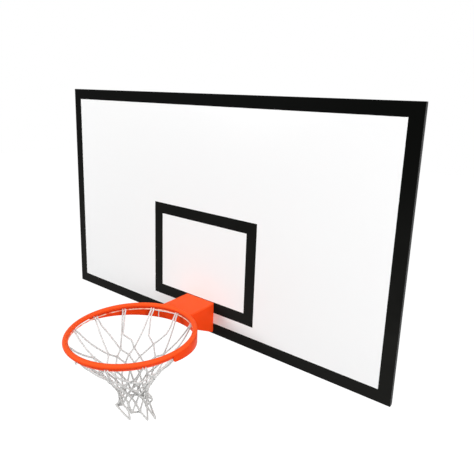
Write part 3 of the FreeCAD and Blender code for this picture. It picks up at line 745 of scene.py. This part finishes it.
def bead_recipe():
    recipe = Recipe("weld_beads", "Seams")
    radius, spacing = recipe.take("Float", "Radius", "Spacing")
    pitch, ripple, wander = recipe.take("Float", "Ripple Pitch", "Ripple", "Wander")
    curve = recipe.node("GeometryNodeMeshToCurve", None, {"Mesh": recipe.given})
    even = recipe.node("GeometryNodeResampleCurve", {"mode": "LENGTH"},
                       {"Curve": curve, "Length": spacing})
    reached = recipe.node("GeometryNodeSplineParameter", output="Length")
    length = recipe.node("GeometryNodeSplineLength", output="Length")
    pools = recipe.math("SINE", reached / pitch * math.tau) * ripple
    noise = recipe.node("ShaderNodeTexNoise", None, {"Scale": LUMPS_PER_METRE, "Detail": 1.0})
    lumps = (noise - 0.5) * wander
    ends = recipe.ease(recipe.math("MINIMUM", reached, length - reached), 0.0, radius * BEAD_TAPER)
    girth = (1 + pools + lumps) * (ends * (1 - BEAD_END) + BEAD_END)
    rim = recipe.circle(BEAD_SIDES, radius)
    bead = recipe.node("GeometryNodeCurveToMesh", None,
                       {"Curve": even, "Profile Curve": rim, "Scale": girth, "Fill Caps": True})
    return recipe.serve(recipe.smooth(bead))


beads = bead_recipe()
for name, (seams, slot, radius, pitch, ripple, wander) in BEADS.items():
    piece = grow(beads, chain_mesh(name, seams), name, slot, {
        "Radius": radius, "Spacing": BEAD_SPACING,
        "Ripple Pitch": pitch, "Ripple": ripple, "Wander": wander})
    settle(piece, slot)

# %% [markdown]
# ## Screws of the frame
# Pan-head screws hold the frame to the panel. The solid has plain heads, because the cross recess is fine
# detail. Twelve alike pieces on points are just what instancing is for: the recipe domes the top of a short
# cylinder with a formula, cuts two crossed bars out of it, adds the shank, and sets a copy at each place,
# turned as the driver happened to leave it. The bars' bottoms lie in one plane, so the cut needs the exact
# solver: the fast one leaves open edges there.

# %% Find the places of the screws
SCREW_GROUP = 0.02


def screw_places():
    """Give the middle of each screw's head, where it seats, from the islands of the node."""
    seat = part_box("frame_top_rail")[1].y
    groups = []
    for vertex in nodes["frame_screws"].data.vertices:
        spot = np.array((vertex.co.x, vertex.co.z))
        near = [group for group in groups if np.abs(group[0] - spot).max() < SCREW_GROUP]
        if near:
            near[0].append(spot)
        else:
            groups.append([spot])
    middles = [(np.min(group, axis=0) + np.max(group, axis=0)) / 2 for group in groups]
    return [(x, seat, z) for x, z in middles]


seats = screw_places()
print(f"{len(seats)} screws")

# %% Drive the screws
HEAD_RADIUS = 0.005
HEAD_SIDES = 32
HEAD_RINGS = 6
HEAD_DOME = 0.45
CROSS_LONG = 0.0056
CROSS_WIDE = 0.0012
CROSS_DEEP = 0.0022
SHANK_SHARE = 0.42
SHANK_SIDES = 16
SCREW_SEED = 3
screw_low, screw_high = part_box("frame_screws")
seat_level = seats[0][1]


def raised(recipe, geometry, height):
    """Move geometry up."""
    lift = recipe.node("ShaderNodeCombineXYZ", None, {"Z": height})
    return recipe.node("GeometryNodeTransform", None, {"Geometry": geometry, "Translation": lift})


def screw_head(recipe, radius, height):
    """Dome a short cylinder and cut the cross out of it."""
    blank = recipe.node("GeometryNodeMeshCylinder", None, {
        "Vertices": HEAD_SIDES, "Side Segments": 1, "Fill Segments": HEAD_RINGS,
        "Radius": radius, "Depth": height})
    place = recipe.node("GeometryNodeInputPosition")
    x, y, z = (recipe.part(place, axis) for axis in "XYZ")
    share = (x * x + y * y) / (radius * radius)
    crown = recipe.math("GREATER_THAN", z, 0.0) * share * share * height * -HEAD_DOME
    drop = recipe.node("ShaderNodeCombineXYZ", None, {"Z": crown + height / 2})
    head = recipe.node("GeometryNodeSetPosition", None, {"Geometry": blank, "Offset": drop})
    for wide, high in ((CROSS_LONG, CROSS_WIDE), (CROSS_WIDE, CROSS_LONG)):
        bar = recipe.node("GeometryNodeMeshCube", None, {"Size": (wide, high, CROSS_DEEP * 2)})
        head = recipe.node("GeometryNodeMeshBoolean", {"operation": "DIFFERENCE", "solver": "EXACT"},
                           {0: head, 1: raised(recipe, bar, height)})
    return head


def screw_recipe():
    recipe = Recipe("frame_screws", "Places")
    radius, height, length = recipe.take("Float", "Head Radius", "Head Height", "Shank Length")
    seed, = recipe.take("Int", "Seed")
    shank = recipe.node("GeometryNodeMeshCylinder", None, {
        "Vertices": SHANK_SIDES, "Radius": radius * SHANK_SHARE, "Depth": length})
    below = raised(recipe, shank, length * -0.5)
    head = screw_head(recipe, radius, height)
    screw = recipe.node("GeometryNodeJoinGeometry", None, {0: [head, below]})
    spin = recipe.node("FunctionNodeRandomValue", {"data_type": "FLOAT_VECTOR"}, {
        "Min": (-math.pi / 2, -math.pi, 0.0), "Max": (-math.pi / 2, math.pi, 0.0), "Seed": seed})
    turned = recipe.node("FunctionNodeEulerToRotation", None, {0: spin})
    return recipe.serve(recipe.node("GeometryNodeInstanceOnPoints", None, {
        "Points": recipe.given, "Instance": screw, "Rotation": turned}))


seat_helper = helper_mesh("screw_places", seats)
screws = grow(screw_recipe(), seat_helper, "frame_screws_crossed", "fastener_steel", {
    "Head Radius": HEAD_RADIUS, "Head Height": screw_high.y - seat_level,
    "Shank Length": seat_level - screw_low.y, "Seed": SCREW_SEED})
settle(screws, "fastener_steel", "frame_screws")

# %% [markdown]
# ## How the net hangs
# A net of this kind is knotted from one cord: twelve loops on the wire, then rows of diamonds, then a hem
# of open loops. A cloth simulation treats a net as a sheet and loses its cords. Here every strand is a
# short chain of points, the knots are shared between chains, and a relaxation lets gravity pull while each
# link keeps its length. No two meshes of a used net are alike, so each knot hangs a share of the way from
# the two knots above it to the hem, turned a little at random. The knots that show best in the picture
# have a turn and a drop of their own.

# %% Places on the net
COLUMNS = 12
HALF_COLUMNS = 2 * COLUMNS
NET_LENGTH = 0.326
WAIST_DROP = 0.245
WAIST_RADIUS = 0.052
HEM_RADIUS = 0.072
TAPER = 1.35


def net_radius(drop):
    """Give the net's radius at a drop below the wire: it gathers to a waist, then flares to its hem."""
    if drop < WAIST_DROP:
        return WAIST_RADIUS + (wire_ring - WAIST_RADIUS) * (1 - drop / WAIST_DROP) ** TAPER
    below = (drop - WAIST_DROP) / (NET_LENGTH - WAIST_DROP)
    return WAIST_RADIUS + (HEM_RADIUS - WAIST_RADIUS) * below ** 2


def column_angle(step):
    """Give the angle round the ring's axis of a half column."""
    return math.tau * step / HALF_COLUMNS - math.pi / 2


def half_column(degrees):
    """Give the half column at an angle round the ring's axis."""
    return (degrees + 90) * HALF_COLUMNS / 360


def outward(step):
    """Give the direction out from the ring's axis at a half column."""
    angle = column_angle(step)
    return np.array((math.cos(angle), math.sin(angle), 0.0))


def around(step):
    """Give the direction along the wire at a half column."""
    return np.cross((0.0, 0.0, 1.0), outward(step))


def below_wire(step, radius, drop):
    """Give the place at a radius from the ring's axis and a drop below the wire."""
    return wire_middle + outward(step) * radius - np.array((0, 0, drop))


def on_net(degrees, drop):
    """Give the place on the net at an angle and a drop."""
    return below_wire(half_column(degrees), net_radius(drop), drop)


print(f"a net of {COLUMNS} columns, {net_radius(0) * 1000:.0f} mm in radius at the wire")

# %% Lay out the knots
ROWS = 8
FIRST_ROW = 0.112
TURN_SPREAD = 4.0
TURN_KEPT = 0.5
DROP_SPREAD = 0.006
NET_SEED = 12
SEEN_KNOTS = {
    # (row, half column): (turn in degrees, drop in metres)
    (1, 21): (-6, 0.094), (1, 19): (-6, 0.118), (1, 17): (-1, 0.119), (1, 15): (4, 0.122),
    (1, 13): (-1, 0.107), (1, 11): (-5, 0.119), (1, 9): (1, 0.074),
    (2, 18): (-5, 0.136), (2, 16): (0, 0.141), (2, 14): (6, 0.150),
    (7, 23): (0, 0.262), (7, 1): (15, 0.282),
}
rng = np.random.default_rng(NET_SEED)


def lay_knots():
    """Give each knot its turn from its column, in degrees, and its drop, row by row."""
    layout = {}
    for row in range(1, ROWS):
        for step in range(row % 2, HALF_COLUMNS, 2):
            turn, drop = 0.0, FIRST_ROW
            if row > 1:
                above = [layout[row - 1, (step + side) % HALF_COLUMNS] for side in (-1, 1)]
                turn, drop = np.mean(above, axis=0)
                drop += (NET_LENGTH - drop) / (ROWS - row + 1)
            turn, drop = (turn, drop) + rng.normal(0, (TURN_SPREAD, DROP_SPREAD))
            layout[row, step] = SEEN_KNOTS.get((row, step), (turn * TURN_KEPT, drop))
    return layout


layout = lay_knots()
print(f"{len(layout)} knots in {ROWS - 1} rows")

# %% [markdown]
# The chains are kept in one table of points, so that the relaxation can move them all in a few array steps.
# Strands differ. Four of the first row hang down and only then bend over to their knot, and the lower ones
# are loose where the net gathers: one of them bulges out. The hem's loops each have a foot that holds them,
# as stiff cord does: some stand out open, others have their sides drawn together, and one hangs as a wide
# flap with two corners. Points where a strand bends pull towards their drawn places, as the knots do.

# %% Strands as chains of points
class Strands:
    """A table of points, the links between them and the chains that they form."""

    def __init__(self):
        self.points, self.held, self.links, self.bends, self.chains = [], [], [], [], []
        self.goals = {}

    def point(self, place, held=False):
        self.points.append(np.array(place, float))
        self.held.append(held)
        return len(self.points) - 1

    def chain(self, places, slack, first, last):
        """Add a chain along places, between two points that are there already."""
        indices = [first, *(self.point(place) for place in places[1:-1]), last]
        for a, b in zip(indices, indices[1:]):
            self.links.append((a, b, np.linalg.norm(self.points[a] - self.points[b]) * (1 + slack)))
        self.bends.extend(zip(indices, indices[1:], indices[2:]))
        self.chains.append(indices)
        return indices

    def hang(self, first, last, bends, count, slack):
        """Hang a chain between two points by way of some bends, which keep their places."""
        places, marks = spaced([self.points[first], *bends, self.points[last]], count)
        chain = self.chain(places, slack, first, last)
        self.goals.update((chain[mark], bend) for mark, bend in zip(marks[1:-1], bends))
        return chain


def spaced(corners, count):
    """Divide the lines through some corners evenly, and say which points are nearest to the corners."""
    corners = np.array(corners)
    lengths = np.linalg.norm(np.diff(corners, axis=0), axis=1)
    reached = np.concatenate(([0.0], np.cumsum(lengths))) / lengths.sum()
    shares = np.linspace(0, 1, count + 1)
    places = np.stack([np.interp(shares, reached, axis) for axis in corners.T], axis=1)
    return places, np.rint(reached * count).astype(int)


strands = Strands()
knots = {}
for (row, step), (turn, drop) in layout.items():
    place = on_net(math.degrees(column_angle(step)) + turn, drop)
    knots[row, step] = strands.point(place)
    strands.goals[knots[row, step]] = place
print(f"{len(knots)} knots in place")

# %% Hang the loops on the wire
CORD_DIAMETER = 0.0065
LINKS_FIRST = 14
SLACK_FIRST = (0.0, 0.004)
HOOK_HALF = 0.0052
HOOK_GIRTH = 0.72
HOOK_REACH = wire_radius + HOOK_GIRTH * CORD_DIAMETER / 2
SEEN_BENDS = {
    # (half column, side): the angle in degrees and the drop of each bend
    (18, -1): ((178, 0.030), (173, 0.066)),
    (16, -1): ((156, 0.074), (143, 0.097)),
    (14, -1): ((120, 0.028), (117, 0.084)),
    (12, 1): ((89, 0.042), (89, 0.064), (96, 0.088)),
}


def hang_loops():
    """Hang two strands from each hook on the wire, to the knots on either side."""
    loops = {}
    for step in range(0, HALF_COLUMNS, 2):
        for side in (-1, 1):
            hook = below_wire(step, wire_ring - HOOK_REACH, 0.0) + around(step) * side * HOOK_HALF
            anchor = strands.point(hook, held=True)
            knot = knots[1, (step + side) % HALF_COLUMNS]
            bends = [on_net(angle, drop) for angle, drop in SEEN_BENDS.get((step, side), ())]
            slack = rng.uniform(*SLACK_FIRST)
            loops[step, side] = strands.hang(anchor, knot, bends, LINKS_FIRST, slack)
    return loops


loops = hang_loops()
print(f"{len(loops)} strands on the wire")

# %% Hang the diamonds and the hem
LINKS = 6
HEM_LINKS = 12
FLAP_LINKS = 20
SLACK = (0.01, 0.08)
HEM_SPREAD = (12.0, 0.010, 0.008)
HEM_PINCH = (0.1, 0.8)
HEM_ROUND = 0.8
SEEN_HEM = {
    # half column: (angle in degrees, radius and drop in metres, pinch)
    20: (208, 0.045, 0.306, 0.5), 22: (225, 0.045, 0.288, 0.5), 2: (-38, 0.056, 0.290, 0.3),
    4: (-25, 0.050, 0.300, 0.2), 6: (-5, 0.092, 0.324, 0.8), 8: (10, 0.108, 0.328, 0.8),
}
FLAP = 0
FLAP_CORNERS = ((240, 0.068, 0.280), (-50, 0.072, 0.312))
BULGE = (6, 10, -1)
BULGE_CORNERS = ((48, 0.067, 0.272), (42, 0.072, 0.283))


def drawn(corners):
    """Give the places of corners at an angle, a radius and a drop."""
    return [below_wire(half_column(angle), radius, drop) for angle, radius, drop in corners]


def hang_diamonds():
    for row in range(1, ROWS - 1):
        for step in range(row % 2, HALF_COLUMNS, 2):
            for side in (-1, 1):
                upper, lower = knots[row, step], knots[row + 1, (step + side) % HALF_COLUMNS]
                bends = drawn(BULGE_CORNERS) if (row, step, side) == BULGE else []
                strands.hang(upper, lower, bends, LINKS, rng.uniform(*SLACK))


def hang_hem(step):
    """Hang a loop between two knots of the last row: round, or pinched until its sides lie together."""
    ends = [knots[ROWS - 1, (step + side) % HALF_COLUMNS] for side in (-1, 1)]
    angle, radius, drop = rng.normal((math.degrees(column_angle(step)), HEM_RADIUS, NET_LENGTH), HEM_SPREAD)
    pinch = rng.uniform(*HEM_PINCH)
    if step == FLAP:
        strands.hang(*ends, drawn(FLAP_CORNERS), FLAP_LINKS, 0.0)
        return
    angle, radius, drop, pinch = SEEN_HEM.get(step, (angle, radius, drop - HEM_SPREAD[2], pinch))
    left, right = (strands.points[end] for end in ends)
    foot = below_wire(half_column(angle), radius, drop)
    places = []
    for share in np.linspace(0, 1, HEM_LINKS + 1):
        depth = math.sin(math.pi * share) ** HEM_ROUND
        beside = -0.5 * math.cos(math.pi * share) * (1 - pinch * depth)
        places.append((left + right) / 2 * (1 - depth) + foot * depth + (right - left) * beside)
    chain = strands.chain(places, 0.0, *ends)
    strands.goals[chain[HEM_LINKS // 2]] = foot


hang_diamonds()
for step in range(ROWS % 2, HALF_COLUMNS, 2):
    hang_hem(step)
print(f"{len(strands.chains)} strands, {len(strands.points)} points")

# %% [markdown]
# One step of the relaxation drops every free point a little, then moves the ends of each link until it has
# its length again. The last steps drop nothing, so that tight strands come out straight. Links only pull: a
# cord can't push. A pull on the knots towards their drawn places stands for their stiffness and for the
# weight of the net below, which keep it gathered.

# %% Relax the net under gravity
STEPS = 300
FALL_STEPS = 160
FALL = 0.0005
PASSES = 14
KNOT_STIFFNESS = 0.6
BEND_STIFFNESS = 0.12
PULL_SHARE = 1.6


def relax(strands):
    places = np.array(strands.points)
    free = ~np.array(strands.held)
    ends = np.array([link[:2] for link in strands.links])
    lengths = np.array([link[2] for link in strands.links])
    bends = np.array(strands.bends)
    goal_points = np.array(list(strands.goals))
    goal_places = np.array(list(strands.goals.values()))
    uses = np.bincount(ends.ravel(), minlength=len(places)).astype(float)[:, None]
    for step in range(STEPS):
        places[free] -= (0, 0, FALL * max(0, 1 - step / FALL_STEPS))
        places[goal_points] += (goal_places - places[goal_points]) * KNOT_STIFFNESS
        middle = (places[bends[:, 0]] + places[bends[:, 2]]) / 2
        push = np.zeros_like(places)
        np.add.at(push, bends[:, 1], (middle - places[bends[:, 1]]) * BEND_STIFFNESS)
        places[free] += push[free]
        for _ in range(PASSES):
            gap = places[ends[:, 1]] - places[ends[:, 0]]
            size = np.linalg.norm(gap, axis=1)
            pull = gap * (np.maximum(size - lengths, 0) / size / 2)[:, None]
            push = np.zeros_like(places)
            np.add.at(push, ends[:, 0], pull)
            np.add.at(push, ends[:, 1], -pull)
            places[free] += (push / uses * PULL_SHARE)[free]
    return places


net_points = relax(strands)
lowest = wire_middle[2] - net_points[:, 2].min()
cord_length = sum(length for _, _, length in strands.links)
print(f"the net hangs {lowest * 1000:.0f} mm below the wire, from {cord_length:.2f} m of cord")

# %% [markdown]
# ## The cords
# Each loop goes up inside the wire, over it, behind the tab and back, so its two strands stand either side
# of the tab. There the cord is pressed flat between wire and bar, which the path notes as a girth below
# one. A thin tie runs between two loops, with a short end left over. The chains become smooth curves, and
# the recipe sweeps a round cord along them, notes the length and the turn for the braid, and raises its
# crossing strands.

# %% Lead the cords over the wire
HOOK_PATH = (
    # along the wire in hook halves, out from it and up in hook reaches, girth
    (1.0, -1.2, -0.6, 1.0), (1.0, -0.95, 0.4, 0.85), (1.0, 0.0, 1.0, HOOK_GIRTH),
    (0.95, 0.9, 0.5, HOOK_GIRTH), (0.6, 1.35, -0.35, HOOK_GIRTH),
)
BEHIND_TAB = 0.0069
BEHIND_DROP = 0.5
TIE_GIRTH = 0.5
TIE_PATH = (
    # half column, out from the wire and up in hook reaches
    (14.02, -0.9, 0.3), (13.8, -1.0, 0.0), (13.4, -1.0, -0.4), (12.9, -1.0, -0.2), (12.1, -0.9, 0.3),
)
TAIL_PATH = ((13.5, -1.0, -0.4), (13.5, -1.25, -2.0), (13.5, -1.5, -4.2), (13.5, -1.2, -6.6))


def by_wire(step, out, up):
    """Give the place out from the wire's middle and up from it, both in hook reaches."""
    return below_wire(step, wire_ring + out * HOOK_REACH, -up * HOOK_REACH)


def hook_points(step):
    """Give the bend of a loop over the wire, from its right side to its left."""
    right, left = ([by_wire(step, out, up) + around(step) * side * along * HOOK_HALF
                    for along, out, up, _ in HOOK_PATH] for side in (1, -1))
    back = below_wire(step, wire_ring + BEHIND_TAB, HOOK_REACH * BEHIND_DROP)
    return [*right, back, *reversed(left)]


def cord_paths():
    """Give every cord's points, and their girths in the same order."""
    paths, girths = [], []
    bend = [girth for *_, girth in HOOK_PATH]
    bend = [*bend, HOOK_GIRTH, *reversed(bend)]
    for step in range(0, HALF_COLUMNS, 2):
        climb = net_points[loops[step, 1][:0:-1]]
        fall = net_points[loops[step, -1][1:]]
        paths.append([*climb, *hook_points(step), *fall])
        girths += [1.0] * len(climb) + bend + [1.0] * len(fall)
    others = [net_points[chain] for chain in strands.chains if chain not in loops.values()]
    ties = [[by_wire(*spot) for spot in path] for path in (TIE_PATH, TAIL_PATH)]
    paths += others + ties
    girths += [1.0] * sum(map(len, others)) + [TIE_GIRTH] * sum(map(len, ties))
    return paths, girths


paths, girths = cord_paths()
print(f"{len(paths)} cords through {len(girths)} points")

# %% Sweep the cords
CORD_SPACING = 0.0018
CORD_SIDES = 10
BRAID_RELIEF = 0.0003


def sweep(recipe, curve, radius, sides, girth=1.0):
    """Sweep a cord along a curve, with its length and its turn noted on the points."""
    length = recipe.node("GeometryNodeSplineParameter", output="Length")
    noted = recipe.node("GeometryNodeStoreNamedAttribute", {"data_type": "FLOAT"},
                        {"Geometry": curve, "Name": "along", "Value": length})
    factor = recipe.node("GeometryNodeSplineParameter", output="Factor")
    rim = recipe.node("GeometryNodeStoreNamedAttribute", {"data_type": "FLOAT"},
                      {"Geometry": recipe.circle(sides, radius), "Name": "around", "Value": factor})
    return recipe.node("GeometryNodeCurveToMesh", None,
                       {"Curve": noted, "Profile Curve": rim, "Scale": girth, "Fill Caps": True})


def cord_recipe():
    recipe = Recipe("net_cords", "Paths")
    radius, spacing, relief = recipe.take("Float", "Radius", "Spacing", "Relief")
    sides, = recipe.take("Int", "Sides")
    curve = recipe.node("GeometryNodeMeshToCurve", None, {"Mesh": recipe.given})
    smooth = recipe.node("GeometryNodeCurveSplineType", {"spline_type": "CATMULL_ROM"}, {"Curve": curve})
    even = recipe.node("GeometryNodeResampleCurve", {"mode": "LENGTH"},
                       {"Curve": smooth, "Length": spacing})
    girth, along, turn = (recipe.node("GeometryNodeInputNamedAttribute", None, {"Name": name})
                          for name in ("girth", "along", "around"))
    tube = sweep(recipe, even, radius, sides, girth)
    height = braid_height(recipe, along, turn) - 0.5
    normal = recipe.node("GeometryNodeInputNormal")
    lift = recipe.node("ShaderNodeVectorMath", {"operation": "SCALE"},
                       {0: normal, "Scale": height * relief})
    braided = recipe.node("GeometryNodeSetPosition", None, {"Geometry": tube, "Offset": lift})
    return recipe.serve(recipe.smooth(braided))


cords = grow(cord_recipe(), chain_mesh("cord_paths", paths, girth=girths), "net_cords", "net_cord", {
    "Radius": CORD_DIAMETER / 2, "Spacing": CORD_SPACING, "Sides": CORD_SIDES, "Relief": BRAID_RELIEF})
settle(cords, "net_cord", "net")

# %% [markdown]
# ## The knots
# Where four strands meet they are tied. A real knot of this kind is a loop drawn through another, and all
# that shows is a tight lump of crossing turns. A closed trefoil has the same look, and one formula gives
# it: the recipe bends a circle into that curve, sweeps the cord along it, and sets a copy at every meeting
# point, facing outwards and turned at random.

# %% Tie the knots
KNOT_SIZE = 0.0016
KNOT_CORD = 0.0023
KNOT_STEPS = 30
KNOT_SIDES = 8
KNOT_DEPTH = 1.2
KNOT_TILT = 0.5
KNOT_SEED = 5


def trefoil(recipe, size):
    """Bend a circle into a trefoil."""
    turn = recipe.node("GeometryNodeSplineParameter", output="Factor") * math.tau
    across = recipe.math("SINE", turn) + recipe.math("SINE", turn * 2) * 2
    upright = recipe.math("COSINE", turn) - recipe.math("COSINE", turn * 2) * 2
    depth = recipe.math("SINE", turn * 3) * -KNOT_DEPTH
    bend = recipe.node("ShaderNodeCombineXYZ", None,
                       {"X": across * size, "Y": upright * size, "Z": depth * size})
    return recipe.node("GeometryNodeSetPosition", None,
                       {"Geometry": recipe.circle(KNOT_STEPS, 1.0), "Position": bend})


def knot_recipe():
    recipe = Recipe("net_knots", "Places")
    size, radius = recipe.take("Float", "Size", "Cord Radius")
    seed, = recipe.take("Int", "Seed")
    lump = sweep(recipe, trefoil(recipe, size), radius, KNOT_SIDES)
    facing = recipe.node("GeometryNodeInputNamedAttribute", {"data_type": "FLOAT_VECTOR"},
                         {"Name": "facing"})
    aligned = recipe.node("FunctionNodeAlignRotationToVector", {"axis": "Z"}, {"Vector": facing})
    tilt = recipe.node("FunctionNodeRandomValue", {"data_type": "FLOAT_VECTOR"}, {
        "Min": (-KNOT_TILT, -KNOT_TILT, -math.pi), "Max": (KNOT_TILT, KNOT_TILT, math.pi), "Seed": seed})
    spin = recipe.node("FunctionNodeEulerToRotation", None, {0: tilt})
    turned = recipe.node("FunctionNodeRotateRotation", {"rotation_space": "LOCAL"},
                         {"Rotation": aligned, "Rotate By": spin})
    return recipe.serve(recipe.node("GeometryNodeInstanceOnPoints", None, {
        "Points": recipe.given, "Instance": recipe.smooth(lump), "Rotation": turned}))


knot_helper = helper_mesh("knot_places", net_points[list(knots.values())],
                          facing=[outward(step) for _, step in knots])
knot_lumps = grow(knot_recipe(), knot_helper, "net_knots", "net_cord", {
    "Size": KNOT_SIZE, "Cord Radius": KNOT_CORD, "Seed": KNOT_SEED})
settle(knot_lumps, "net_cord")
